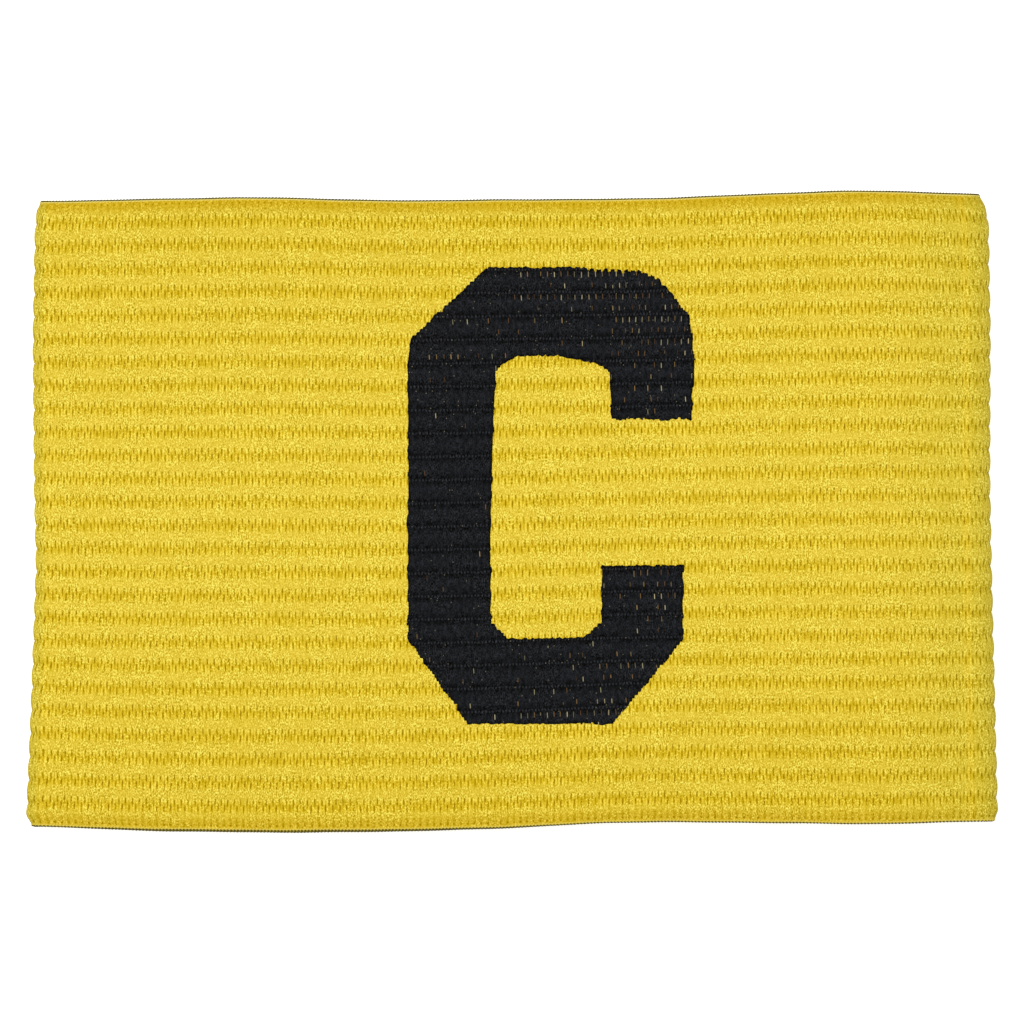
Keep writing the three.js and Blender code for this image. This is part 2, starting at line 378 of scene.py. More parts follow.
chain_line = loop_line(CHAIN_PITCH / CHAIN_STEPS)
chain_arc = line_arc(chain_line)
chain_count = round(chain_arc[-1] / CHAIN_PITCH)


def selvage_cord(name, side):
    """A cord along one selvage; side is 1 for the upper and -1 for the lower one. Its section is
    an oval, times one plus the swell times the cosine of the way along the chain less the angle
    round the cord."""
    angle = side * 2 * np.pi * np.arange(CORD_SIDES) / CORD_SIDES
    way = 2 * np.pi * chain_count * chain_arc[:-1, None] / chain_arc[-1]
    swell = 1 + CORD_SWELL * np.cos(way - side * angle / 2) * np.cos(angle / 2) ** 2
    across = side * (half_width - CORD_INSET) + side * CORD_REACH * np.cos(angle) * swell
    points = lay_cloth(chain_line, across, CORD_HEIGHT * np.sin(angle) * swell)
    around = np.arange(CORD_SIDES + 1) / CORD_SIDES
    return make_piece(
        name,
        points + to_frame,
        grid_faces(len(chain_line), CORD_SIDES)[:, ::-1],
        {"weave": grid_map(chain_arc[:, None] / chain_arc[-1] * wale_count, around)},
    )


selvages = [selvage_cord("selvage_upper", 1), selvage_cord("selvage_lower", -1)]

# %% [markdown]
# ## The seam's thread
# The strip's two ends meet in the middle of the back, sewn edge to edge. The thread is a zigzag
# tube on both faces, half sunk into the inner one and wholly into the outer one.

# %% The zigzag thread
STITCH_REACH = 0.0013  # from the seam to the zigzag's turns
STITCH_LENGTH = 0.0009  # along the seam, from one turn to the next
THREAD_RADIUS = 0.00014
THREAD_SIDES = 6
THREAD_SUNK = 0.00006  # how far its middle lies under the crests, inside the loop
THREAD_STEPS = 6  # points from one turn to the next
THREAD_SLANT = 0.7  # the sine of the zigzag's slope, about

turns = int((BAND_WIDTH - 2 * SELVAGE_RUN) / STITCH_LENGTH)
zigzag = np.linspace(0, turns, turns * THREAD_STEPS + 1)


def thread_tube(lift):
    """One tube: its middle zigzags between two lines beside the seam and dips into the grooves by
    half their depth. A circle is set square to the strip's run at each point, and both ends
    close."""
    x = STITCH_REACH * (1 - 2 * np.abs(zigzag % 2 - 1))
    across = STITCH_LENGTH * (zigzag - turns / 2)
    height = np.sign(lift) * (np.abs(lift) - (WALL / 2 - face_lift(across)) / 2)
    angle = 2 * np.pi * np.arange(THREAD_SIDES) / THREAD_SIDES
    to_end = np.minimum(zigzag, turns - zigzag)
    radius = THREAD_RADIUS * np.minimum(1, THREAD_STEPS * to_end + 0.02)[:, None]
    z = WALL / 2 + height[:, None] + radius * np.sin(angle)
    aside = radius * np.cos(angle)
    sideways = x[:, None] + aside * THREAD_SLANT
    along = across[:, None] - aside * np.sign(np.gradient(x))[:, None] * THREAD_SLANT
    return np.stack([sideways, along, z], -1)


def seam_thread():
    """Both tubes as one mesh. The faces between a tube's last ring and its first are left out,
    and its end rings are filled."""
    rings = len(zigzag)
    last = (rings - 1) * THREAD_SIDES
    faces = grid_faces(rings, THREAD_SIDES)[:last]
    ends = np.array([[0, 3, 2, 1], [0, 5, 4, 3]])
    tube = np.vstack([faces, ends, ends[:, ::-1] + last])
    lifts = [WALL / 2 - THREAD_SUNK, THREAD_RADIUS - WALL / 2]
    points = np.concatenate([thread_tube(lift).reshape(-1, 3) for lift in lifts])
    return make_piece("seam_thread", points + to_frame,
                      np.vstack([tube, tube + rings * THREAD_SIDES]), {})


thread = seam_thread()

# %% [markdown]
# ## The printed letter
# The letter is ink pressed into the ribs, a film that follows the band's front. Its edge bulges
# out in every groove, and has small teeth where stitches took no ink. Each point of a fine grid
# has its distance to the outline: points near it are moved onto it, and faces outside are dropped.

# %% The letter's outline
LETTER_MIDDLE = np.array([0.0061, 0.0026])
CORNERS_X = [22.9, 23.3, 22.3, 17.5, 14.8, 3.1, -10, -22.2, -22.9, -22.9, -13.2, 10.2, 21.5, 21.5,
             8.4, 8.2, 5.5, -6.8, -9.4, -9.6, -9, -8.7, -7.4, -4.9, 1.1, 7.2, 9.2, 9.7, 9.8]
CORNERS_Y = [12.2, 22.3, 29.3, 34.9, 36.2, 36.8, 36.9, 25.6, 22.2, -23.3, -36.7, -36.7, -23.3,
             -11.2, -11.2, -20.1, -22.8, -23, -20.1, -7.2, 13.3, 19.7, 21.3, 22.5, 22.4, 21.3,
             20.1, 18.9, 12.2]
letter_corners = np.column_stack([CORNERS_X, CORNERS_Y]) * 0.001


def outline_distance(places, corners):
    """How far each place lies inside a closed outline; outside it is negative. It is the least
    distance to the outline's straight edges. A place is inside where a line from it to the right
    crosses the edges an odd number of times."""
    least = np.full(places.shape[:-1], np.inf)
    crossings = np.zeros(places.shape[:-1], int)
    for a, b in zip(corners, np.roll(corners, -1, axis=0)):
        edge, from_a = b - a, places - a
        share = np.clip(from_a @ edge / (edge @ edge), 0, 1)
        least = np.minimum(least, np.linalg.norm(from_a - share[..., None] * edge, axis=-1))
        spans = (a[1] > places[..., 1]) != (b[1] > places[..., 1])
        crossing_x = a[0] + edge[0] * from_a[..., 1] / (edge[1] if edge[1] else 1)
        crossings += spans & (places[..., 0] < crossing_x)
    return np.where(crossings % 2 == 1, least, -least)


# %% The ink's ragged edge
GROOVE_BULGE = 0.00009  # how much further the ink runs along a groove
TOOTH_DEPTH = 0.0001
DEEP_TEETH = (0.016, 0.0375, 0.0058)  # where the print's upper edge is comb-like, and how far
DEEP_TOOTH_DEPTH = 0.0006
TOOTH_SHARPNESS = 16
TOOTH_REACH = 0.36  # of a rib, from the groove
ROW_CHANGE = 0.2  # of a rib above the groove, where the lower row of slits hands over
ROUGHNESS = 0.00016
BUMPS = (3, 1.7), (14, 6)  # the fine and the coarse ones, in grid steps along and across
PRINT_SEED = 11


def smooth_noise(rng, shape, cells):
    """Noise between -1 and 1 on a grid: random values in coarse cells, joined by straight runs
    along both ways."""
    coarse = rng.uniform(-1, 1, [int(count / cell) + 2 for count, cell in zip(shape, cells)])
    i, j = (np.arange(count) / cell for count, cell in zip(shape, cells))
    i0, j0 = i.astype(int), j.astype(int)
    a, b = (i - i0)[:, None], (j - j0)[None, :]
    low = coarse[i0][:, j0] * (1 - b) + coarse[i0][:, j0 + 1] * b
    high = coarse[i0 + 1][:, j0] * (1 - b) + coarse[i0 + 1][:, j0 + 1] * b
    return low * (1 - a) + high * a


def ragged(distance, upright, wale, rib, x, y):
    """The outline's distance with what the cloth does to it. Where the outline is upright, the
    ink runs out along the grooves, by a cosine over the rib. Beside a groove, each slit holds it
    back by a sharp cosine over the wale, most in the comb-like place. And it is rough."""
    rng = np.random.default_rng(PRINT_SEED)
    fine, coarse = (smooth_noise(rng, distance.shape, cells) for cells in BUMPS)
    above = rib - np.round(rib)
    stagger = 0.5 * (above < ROW_CHANGE)
    tooth = np.cos(np.pi * (wale + stagger)) ** TOOTH_SHARPNESS * (np.abs(above) < TOOTH_REACH)
    from_comb = np.hypot(x - DEEP_TEETH[0], y - DEEP_TEETH[1]) / DEEP_TEETH[2]
    depth = TOOTH_DEPTH + (DEEP_TOOTH_DEPTH - TOOTH_DEPTH) * np.exp(-from_comb**4)
    run = GROOVE_BULGE * np.cos(2 * np.pi * rib) * upright**3
    return distance + run - depth * tooth + ROUGHNESS * (fine + 0.7 * coarse)


# %% The letter's film
FILM_RISE = 0.00007  # over the cloth
FILM_DEPTH = 0.00012  # into the cloth
FILM_SPACING = 0.000135
FILM_MARGIN = 0.001  # of grid round the letter

low_x, low_y = LETTER_MIDDLE + letter_corners.min(0) - FILM_MARGIN
high_x, high_y = LETTER_MIDDLE + letter_corners.max(0) + FILM_MARGIN
film_x = np.arange(low_x, high_x, FILM_SPACING)
film_across = face_places(OUTER_SHARES)
film_across = film_across[(film_across > low_y) & (film_across < high_y)]
front = cloth_line[:, 3] > 0.9  # where outwards points up
front_arc = (cloth_line[front, 0][::-1], cloth_arc[:-1][front][::-1])
outer_end = int(np.argmax(section_across))


def on_front(x, across, rise):
    """Places over the front layer, one for each x and across: the cloth's own, on the band's own
    faces, with the rise added to the lift."""
    lift = np.interp(across.ravel(), section_across[:outer_end], section_lift[:outer_end])
    places = lay_cloth(front_line(x.ravel()), across.reshape(-1, 1), lift[:, None] + rise)
    return places.reshape(x.shape + (3,)) + to_frame


def connected(kept):
    """The part of a grid's true points that hangs together with its longest column: it grows by
    one point every way until it stops growing."""
    part = np.zeros_like(kept)
    seed = np.argmax(kept.sum(1))
    part[seed] = kept[seed]
    size = 0
    while part.sum() > size:
        size = part.sum()
        beside = [np.roll(part, step, axis) for step in (1, -1) for axis in (0, 1)]
        part = (part | np.any(beside, axis=0)) & kept
    return part


def film_grid():
    """The film's points, as x and across, which of them are kept, and how far each lies inside
    the outline. A point just outside is moved onto the outline, against the distance's slope, if
    that takes it no further than its neighbour's place."""
    x, across = np.meshgrid(film_x, film_across, indexing="ij")
    places = on_front(x, across, 0)
    distance = outline_distance(places[..., :2] - LETTER_MIDDLE, letter_corners)
    upright = np.abs(np.gradient(distance, film_x, axis=0))
    wale, rib = weave(np.interp(x, *front_arc), across)
    inside = ragged(distance, np.clip(upright, 0, 1), wale, rib, places[..., 0], places[..., 1])
    slope_x, slope_across = np.gradient(inside, film_x, film_across)
    pull = -inside / (slope_x**2 + slope_across**2 + 1e-9)
    move_x, move_across = pull * slope_x, pull * slope_across
    near = (np.abs(move_x) < FILM_SPACING) & (np.abs(move_across) < np.gradient(film_across))
    moved = near & (inside < 0)
    part = connected((inside >= 0) | moved)
    return x + move_x * moved, across + move_across * moved, part, np.maximum(inside, 0)


# %% [markdown]
# The film is closed: a top a little over the cloth, a bottom a little inside it, and a wall
# between them along every edge that only one face has.

# %% Build the film
RIM_WIDTH = 0.00045  # the ink is thickest along its outline
WORN_SPOTS = [  # x, y, reach along x and y, share of the stitches that are bare
    [0.025, 0.029, 0.007, 0.006, 0.9],
    [0.019, 0.0345, 0.008, 0.003, 0.75],
    [0.0085, 0.0347, 0.0095, 0.001, 0.95],
    [0.008, 0.0385, 0.009, 0.0012, 0.8],
    [0.001, 0.031, 0.008, 0.002, 0.3],
    [0.024, 0.0215, 0.006, 0.006, 0.35],
    [0.023, -0.012, 0.006, 0.006, 0.45],
    [0.017, -0.025, 0.01, 0.004, 0.35],
    [0.0125, -0.0325, 0.011, 0.0022, 0.85],
    [-0.01, 0.025, 0.004, 0.0012, 0.8],
]


def film_faces(part):
    """Faces of the top, over every grid cell whose four corners are kept, as corner numbers."""
    cell = part[:-1, :-1] & part[1:, :-1] & part[1:, 1:] & part[:-1, 1:]
    i, j = np.nonzero(cell)
    columns = part.shape[1]
    here, there = i * columns + j, (i + 1) * columns + j
    return np.stack([here, there, there + 1, here + 1], -1)


def free_edges(faces):
    """The edges that only one face has, in the order in which that face runs along them."""
    edges = np.concatenate([faces[:, [k, (k + 1) % 4]] for k in range(4)])
    both_ways = np.sort(edges, axis=1)
    _, first, count = np.unique(both_ways, axis=0, return_index=True, return_counts=True)
    return edges[first[count == 1]]


def letter_film():
    """The film as a mesh, with its own weave map, and two values for each point: how near the
    outline it is, from 0 to 1 at the edge, and how worn the print is there."""
    x, across, part, inside = film_grid()
    used, corners = np.unique(film_faces(part), return_inverse=True)
    top = corners.reshape(-1, 4)
    x, across, inside = (values.ravel()[used] for values in (x, across, inside))
    edges = free_edges(top)
    count = len(used)
    walls = np.column_stack([edges[:, ::-1], edges + count])
    faces = np.concatenate([top, top[:, ::-1] + count, walls])
    high, low = on_front(x, across, FILM_RISE), on_front(x, across, -FILM_DEPTH)
    places = np.column_stack(weave(np.interp(x, *front_arc), across))
    film = make_piece("letter_ink", np.concatenate([high, low]), faces,
                      {"weave": np.concatenate([places, places])[faces.ravel()]})
    rim = np.clip(1 - inside / RIM_WIDTH, 0, 1)
    worn = np.zeros(count)
    for spot_x, spot_y, reach_x, reach_y, strength in WORN_SPOTS:
        near = ((high[:, 0] - spot_x) / reach_x) ** 2 + ((high[:, 1] - spot_y) / reach_y) ** 2
        worn = np.maximum(worn, strength * np.exp(-near))
    carry(film, "rim", np.append(rim, rim))
    carry(film, "worn", np.append(worn, worn))
    return film


letter = letter_film()

# %% [markdown]
# ## Light and colour
# The lamp and the room are set further down, but their strengths are named here: every colour is
# given as it is seen on a screen and divided by their light.

# %% How bright it is, and what colours are
ROOM_LIGHT = 0.5
LAMP_PLACE = (-0.35, 0.3, 3.0)
LAMP_SIZE = 1.4
LAMP_POWER = 82.0
lamp_light = LAMP_POWER * LAMP_PLACE[2] ** 2 / (np.pi * np.dot(LAMP_PLACE, LAMP_PLACE)) ** 2
lamp_light *= 1 - LAMP_SIZE**2 / (3 * LAMP_PLACE[2] ** 2)  # its rim is further off and slantwise
light_level = ROOM_LIGHT + lamp_light
print("light level:", round(light_level, 3))


def paint(red, green, blue):
    """A seen colour, from 0 to 255, as light: the screen's curve undone, then divided by the
    light that falls on it."""
    seen = np.clip(np.array([red, green, blue]), 1, 255) / 255
    light = np.where(seen > 0.04045, ((seen + 0.055) / 1.055) ** 2.4, seen / 12.92)
    return (*(light / light_level), 1.0)


SHADE_CAST = (1.0, 1.05, 1.3)  # how much of red, green and blue a dark tone takes


class Wiring:
    """Short ways to add nodes to a tree. Each call adds one node and gives back its output."""

    def __init__(self, tree):
        self.tree = tree

    def add(self, kind, *inputs, output=0, **settings):
        node = self.tree.nodes.new(kind)
        for name, value in settings.items():
            setattr(node, name, value)
        for socket, value in zip(node.inputs, inputs):
            self.feed(socket, value)
        return node.outputs[output]

    def feed(self, socket, value):
        if isinstance(value, bpy.types.NodeSocket):
            self.tree.links.new(value, socket)
        elif value is not None:
            socket.default_value = value

    def math(self, operation, *values):
        return self.add("ShaderNodeMath", *values, operation=operation)

    def product(self, first, *others):
        for other in others:
            first = self.math("MULTIPLY", first, other)
        return first

    def total(self, *terms):
        """The sum of values, each times its weight."""
        result = 0.0
        for value, weight in terms:
            result = self.math("MULTIPLY_ADD", value, weight, result)
        return result

    def ramp(self, value, start, end):
        """0 at start, 1 at end, with an S curve between."""
        return self.add("ShaderNodeMapRange", value, start, end, 0.0, 1.0,
                        interpolation_type="SMOOTHSTEP")

    def vector(self, x, y, z=0.0):
        return self.add("ShaderNodeCombineXYZ", x, y, z)

    def parts(self, vector):
        return self.add("ShaderNodeSeparateXYZ", vector).node.outputs

    def blend(self, share, first, second):
        """The first colour, or the second one by the share. A Mix node's sockets for numbers and
        vectors come before those for colours."""
        return self.add("ShaderNodeMix", share, *[None] * 5, first, second, output=2,
                        data_type="RGBA")

    def noise(self, place, detail=0.0):
        """Smooth noise about 0 over a flat map."""
        raw = self.add("ShaderNodeTexNoise", place, None, 1.0, detail, noise_dimensions="2D")
        return self.math("SUBTRACT", raw, 0.5)

    def tones(self, tone, middle, steps):
        """The middle colour plus the tone. A dark tone takes more from the green and most from
        the blue, as dyed yarn's own shade does. At the steps the colour ramp's colours are true."""
        low, high = steps[0], steps[-1]
        share = self.add("ShaderNodeMapRange", tone, float(low), float(high), 0.0, 1.0)
        colour = self.add("ShaderNodeValToRGB", share)
        stops = colour.node.color_ramp.elements
        for step in steps[1:-1]:
            stops.new((step - low) / (high - low))
        for stop, step in zip(stops, steps):
            stop.color = paint(*(np.array(middle) + step * np.array(SHADE_CAST if step < 0 else 1)))
        return colour


def new_group(name, work):
    """A node group that takes the weave map's place and puts out, by name, what work makes of it
    there. All of it is values, but Chance is a colour."""
    tree = bpy.data.node_groups.new(name, "ShaderNodeTree")
    tree.interface.new_socket("Weave", in_out="INPUT", socket_type="NodeSocketVector")
    w = Wiring(tree)
    made = work(w, tree.nodes.new("NodeGroupInput").outputs["Weave"])
    for label in made:
        kind = "NodeSocketColor" if label == "Chance" else "NodeSocketFloat"
        tree.interface.new_socket(label, in_out="OUTPUT", socket_type=kind)
    result = tree.nodes.new("NodeGroupOutput").inputs
    for label, value in made.items():
        w.feed(result[label], value)
    print(name, "puts out", *made)
    return tree


# %% [markdown]
# ## The stitches between the ribs
# In every groove the knit opens in two rows of narrow upright slits, one wale apart. The lower row
# sits half a wale along, and the rows reach past each other at the groove's foot. Each slit has its
# own length, shade and slant, and the yarn beside it gets a painted highlight. The whole part of a
# number on the weave map names the stitch, and the rest says where in the stitch the point is.

# %% The stitch group
UPPER_ROW = {  # its shift in wales, and four ends of slit and opening in ribs above the groove
    "shift": 0.5, "slit": (0.37, 0.29, 0.21, -0.12), "opening": (0.41, 0.36, 0.22, 0.16)}
LOWER_ROW = {
    "shift": 0.0, "slit": (-0.38, -0.09, -0.02, 0.15), "opening": (-0.35, -0.3, -0.14, -0.08)}
SLIT_SIDES = (0.14, 0.03)  # in wales from its middle: where it fades out, and where it is full
OPENING_SIDES = (0.07, 0.05)
BRIGHT_SIDES = (0.13, 0.24, 0.34, 0.48)
HEAD_HEIGHT, HEAD_SIDES = (0.075, 0.02), (0.14, 0.36)
GROOVE_SIDES = (0.36, 0.04)  # in ribs from the groove
SLIT_JITTER = 0.07  # of a wale, sideways
END_JITTER = 0.06  # of a rib, up and down
SLIT_LEAN = 0.18  # wales to a rib, at most


def span(w, place, ends):
    """1 between the two middle ones of four ends, and 0 beyond the outer two."""
    return w.product(w.ramp(place, ends[0], ends[1]), w.ramp(place, ends[3], ends[2]))


def slit_row(w, u, above, groove, number, row):
    """One row of slits. Returns the slits, the painted highlight on the yarn beside them, the
    openings, and the random colour of each stitch."""
    shifted = w.math("ADD", u, row["shift"])
    stitch = w.math("FLOOR", shifted)
    seed = w.vector(stitch, w.total((groove, 2.0), (1.0, float(number))))
    chance = w.add("ShaderNodeTexWhiteNoise", seed, output=1, noise_dimensions="2D")
    one, two, three = w.parts(chance)
    middle = sum(row["slit"]) / 4
    lean = w.product(w.math("SUBTRACT", two, 0.5), 2 * SLIT_LEAN, w.math("SUBTRACT", above, middle))
    beside = w.total((shifted, 1.0), (stitch, -1.0), (one, SLIT_JITTER), (lean, 1.0),
                     (1.0, -0.5 - SLIT_JITTER / 2))
    away = w.math("ABSOLUTE", beside)
    place = w.total((above, 1.0), (three, END_JITTER), (1.0, -END_JITTER / 2))
    length = span(w, place, row["slit"])
    strength = w.total((two, 0.4), (1.0, 0.6))
    slit = w.product(w.ramp(away, *SLIT_SIDES), length, strength)
    bright = w.product(span(w, away, BRIGHT_SIDES), length, three)
    opening = w.product(w.ramp(away, *OPENING_SIDES), span(w, place, row["opening"]))
    return slit, bright, opening, chance


def stitch_parts(w, place):
    """Slit is 1 in a slit, Bright 1 on the yarn beside it, which gets a painted highlight, Opening
    1 where a stitch is open under the print, Head 1 on a loop head at the groove's foot, and Groove
    1 all along the foot, where painted shade goes. Chance is a random colour for each stitch."""
    u, v, _ = w.parts(place)
    groove = w.math("FLOOR", w.math("ADD", v, 0.5))
    above = w.math("SUBTRACT", v, groove)
    from_middle = w.math("ABSOLUTE", w.math("SUBTRACT", groove, rib_count / 2))
    real = w.math("LESS_THAN", from_middle, rib_count / 2 - 0.4)
    upper, lower = (slit_row(w, u, above, groove, number, row)
                    for number, row in enumerate((UPPER_ROW, LOWER_ROW)))
    rows = zip(("Slit", "Bright", "Opening"), upper, lower)
    away = w.math("ABSOLUTE", above)
    half = w.math("PINGPONG", w.product(u, 2.0), 0.5)
    return {
        **{name: w.product(w.math("MAXIMUM", a, b), real) for name, a, b in rows},
        "Head": w.product(w.ramp(away, *HEAD_HEIGHT), w.ramp(half, *HEAD_SIDES), real),
        "Groove": w.product(w.ramp(away, *GROOVE_SIDES), real),
        "Chance": w.blend(w.math("GREATER_THAN", above, 0.0), lower[3], upper[3]),
    }


stitches = new_group("rib_stitches", stitch_parts)

# %% [markdown]
# ## The yarn on the ribs
# The backs of the ribs are covered by crimped yarn. It reads as fine upright strokes, a third of a
# millimetre long, with a painted highlight, a glint, here and there. Noise stretched along the
# rib's height gives the strokes, and small random cells give the painted glints.

# %% The yarn group
FINE_CELLS = (6.6, 12.0)  # to a wale and to a rib
BROAD_CELLS = (2.0, 4.0)
GLINT_CELLS = (4.4, 11.0)
PATCH_CELLS = (0.24, 0.8)
CALMEST, LIVELIEST = 0.7, 1.3  # how strong the fine strokes are in a patch
SPOT_SIDES, CRUMB_SIDES = (0.55, 0.15), (0.4, 0.1)  # in cells from the middle
GLINT_RANKS = (0.66, 0.92)  # the chances between which a cell begins to glint
CRUMB_RANK = 0.99


def scaled(w, place, cells):
    """The place on the map, counted in cells."""
    return w.add("ShaderNodeVectorMath", place, (*cells, 1.0), operation="MULTIPLY")


def yarn_parts(w, place):
    """Fine and Broad are two sizes of strokes, about 0; the fine ones come and go in patches.
    Glint is 1 on a filament's painted highlight, and Crumb is 1 on one in a hundred, chosen by
    other numbers."""
    patch = w.ramp(w.noise(scaled(w, place, PATCH_CELLS), 1.0), -0.15, 0.15)
    lively = w.total((patch, LIVELIEST - CALMEST), (1.0, CALMEST))
    away = w.add("ShaderNodeTexVoronoi", scaled(w, place, GLINT_CELLS), None, 1.0,
                 voronoi_dimensions="2D")
    one, two, _ = w.parts(away.node.outputs["Color"])
    return {
        "Fine": w.product(w.noise(scaled(w, place, FINE_CELLS), 1.0), lively),
        "Broad": w.noise(scaled(w, place, BROAD_CELLS)),
        "Glint": w.product(w.ramp(away, *SPOT_SIDES), w.ramp(one, *GLINT_RANKS), lively),
        "Crumb": w.product(w.ramp(away, *CRUMB_SIDES), w.math("GREATER_THAN", two, CRUMB_RANK)),
    }


yarn = new_group("crimped_yarn", yarn_parts)

# %% [markdown]
# ## The pull at the selvages
# Beside the selvage the cloth is a plain, tight strip with a row of dark pinholes. It is painted
# orange rather than yellow, as painted shade where the strip curves down to the selvage. The
# wales go on through it as faint upright strokes.

# %% The selvage strip's group
STRIP_ENDS = (0.03, 0.1, 0.24, 0.72)  # in ribs from the selvage
STROKE_ENDS = (0.1, 0.18, 0.4, 0.7)
PINHOLE_ENDS = (0.14, 0.18, 0.22, 0.27)
STROKE_SIDES, PINHOLE_SIDES = (0.3, 0.05), (0.2, 0.08)  # in wales from the middle


def pull_parts(w, place):
    """Strip is 1 on the pulled strip, and less at the lower selvage; it sets how much painted
    orange shade the cloth takes. Stroke is 1 on its upright strokes, which are stronger at the
    lower selvage, and Pinhole 1 on its holes."""
    u, v, _ = w.parts(place)
    edge = w.math("MINIMUM", v, w.math("SUBTRACT", float(rib_count), v))
    wale = w.math("FLOOR", u)
    chance = w.add("ShaderNodeTexWhiteNoise", w.vector(wale, w.math("GREATER_THAN", v, 1.0)),
                   noise_dimensions="2D")
    away = w.math("ABSOLUTE", w.math("SUBTRACT", w.math("SUBTRACT", u, wale), 0.5))
    lower = w.math("LESS_THAN", v, 1.0)
    share = w.total((lower, -0.35), (1.0, 1.0))
    depth = w.total((chance, 0.5), (lower, 0.3), (1.0, 0.25))
    return {
        "Strip": w.product(span(w, edge, STRIP_ENDS), share),
        "Stroke": w.product(w.ramp(away, *STROKE_SIDES), span(w, edge, STROKE_ENDS), depth),
        "Pinhole": w.product(w.ramp(away, *PINHOLE_SIDES), span(w, edge, PINHOLE_ENDS)),
    }


pull = new_group("selvage_pull", pull_parts)

# %% [markdown]
# ## The elastic's finish
# The cloth is dyed one warm yellow. What varies is how much light the yarn gives back, so the
# parts of the knit add up to one tone, and a colour ramp turns it into yellow. The grooves get
# painted shade, a deeper and darker yellow, and the cloth is painted darker towards the
# selvages, as painted shade where the light falls off. The folds get painted shade too, a
# darker green that is darkest at their edge, so the band carries the sine of how far it has
# turned, below zero on the left. The orange beside the selvages is painted shade as well, and
# the glints and the yarn beside the slits are painted highlights. Slits and strokes also go
# into a Bump node, because they are finer than a mesh can hold.

# %% The elastic
# In the tone, Glint and Bright are painted highlights, and Groove is painted shade.
ELASTIC_TONE = {"Fine": 142.0, "Broad": 17.0, "Glint": 60.0, "Bright": 30.0, "Slit": -64.0,
                "Groove": -9.0, "Stroke": -30.0, "Pinhole": -30.0}  # in screen levels
# Painted shade: the tone drops with the square of the way from the best-lit rib, as the light falls
# off towards the selvages.
BEST_LIT_RIB = 15.5  # counted from the lower selvage
SELVAGE_FALLOFF_SHADE = 0.028  # levels lost a rib away from it, growing with the square of the way
YELLOW = (229, 200, 62.5)
# Painted shade in the grooves.
GROOVE_SHADE_YELLOW = (228, 196, 47.5)
YELLOW_STEPS = (-75, -55, -38, -24, -12, 0, 10, 20, 32, 46)
# Painted shade beside the selvages.
SELVAGE_SHADE_ORANGE = (214, 179, 34)
SELVAGE_SHADE_STEPS = (-50, -25, 0, 20, 36)
# Painted shade on the folds, and darker still at their edge.
FOLD_SHADE_GREEN = (204, 187, 58)
FOLD_EDGE_SHADE = (164, 154, 56)


def new_material(name, piece):
    """A new material on a piece: its wiring and its shader."""
    material = bpy.data.materials.new(name)
    material.use_nodes = True
    piece.data.materials.append(material)
    return Wiring(material.node_tree), material.node_tree.nodes["Principled BSDF"]


def cloth_material(name, piece, *trees):
    """A matte material on a piece: its wiring, its shader, the weave map's place, and all that
    the given groups put out there, by name."""
    w, shader = new_material(name, piece)
    shader.inputs["Specular IOR Level"].default_value = 0.03
    place = w.add("ShaderNodeUVMap", uv_map="weave")
    knit = {}
    for tree in trees:
        node = w.tree.nodes.new("ShaderNodeGroup")
        node.node_tree = tree
        w.feed(node.inputs["Weave"], place)
        knit.update(node.outputs.items())
    return w, shader, place, knit


def weighed(values, weights):
    """Pairs of a value and its weight, by name."""
    return [(values[name], weight) for name, weight in weights.items()]


def finish(w, shader, colour, roughness, height=None):
    """Feeds the shader with a colour, a roughness and, through a bump of a tenth of a millimetre,
    a height."""
    w.feed(shader.inputs["Base Color"], colour)
    w.feed(shader.inputs["Roughness"], roughness)
    if height:
        w.feed(shader.inputs["Normal"], w.add("ShaderNodeBump", 0.5, 0.0001, None, height))


def elastic_material(piece):
    """One tone from the knit's parts, in screen levels, made yellow, or by painted shade orange,
    green or darker, by where it is.
    """
    w, shader, place, knit = cloth_material("elastic_yellow", piece, stitches, yarn, pull)
    _, v, _ = w.parts(place)
    from_best_lit = w.math("SUBTRACT", v, BEST_LIT_RIB)
    calm = w.total((knit["Groove"], -0.4), (1.0, 1.0))
    strokes = knit["Fine"]
    knit["Fine"] = w.product(strokes, calm)
    tone = w.total(*weighed(knit, ELASTIC_TONE), (w.product(from_best_lit, from_best_lit), -SELVAGE_FALLOFF_SHADE))
    yellow = w.tones(tone, YELLOW, YELLOW_STEPS)
    groove_shade_colour = w.tones(tone, GROOVE_SHADE_YELLOW, YELLOW_STEPS)
    orange = w.tones(w.product(tone, 0.6), SELVAGE_SHADE_ORANGE, SELVAGE_SHADE_STEPS)
    # Painted shade: the grooves take a deeper, darker yellow.
    colour = w.blend(knit["Groove"], yellow, groove_shade_colour)
    # Painted shade: the strip beside each selvage turns orange.
    colour = w.blend(knit["Strip"], colour, orange)
    # Painted shade on the folds: a darker green where the band turns from the lamp, darker still at
    # the fold's edge.
    turn = w.add("ShaderNodeAttribute", attribute_name="turn", output=2)
    calmer = w.product(tone, 0.8)
    green = w.tones(calmer, FOLD_SHADE_GREEN, YELLOW_STEPS)
    fold_edge_shade = w.tones(calmer, FOLD_EDGE_SHADE, YELLOW_STEPS)
    fold_shade_share = w.total((w.ramp(turn, 0.035, 0.1), 0.45), (w.ramp(turn, 0.2, 0.8), 0.15),
                      (w.ramp(turn, -0.37, -0.63), 0.45))
    darker = w.total((w.ramp(turn, 0.9, 1.0), 0.5), (w.ramp(turn, -0.93, -1.0), 0.3))
    colour = w.blend(fold_shade_share, colour, green)
    colour = w.blend(darker, colour, fold_edge_shade)
    finish(w, shader, colour, w.total((knit["Glint"], -0.3), (1.0, 0.9)),
           w.total((strokes, 1.0), (knit["Bright"], 0.4), (knit["Slit"], -1.0)))


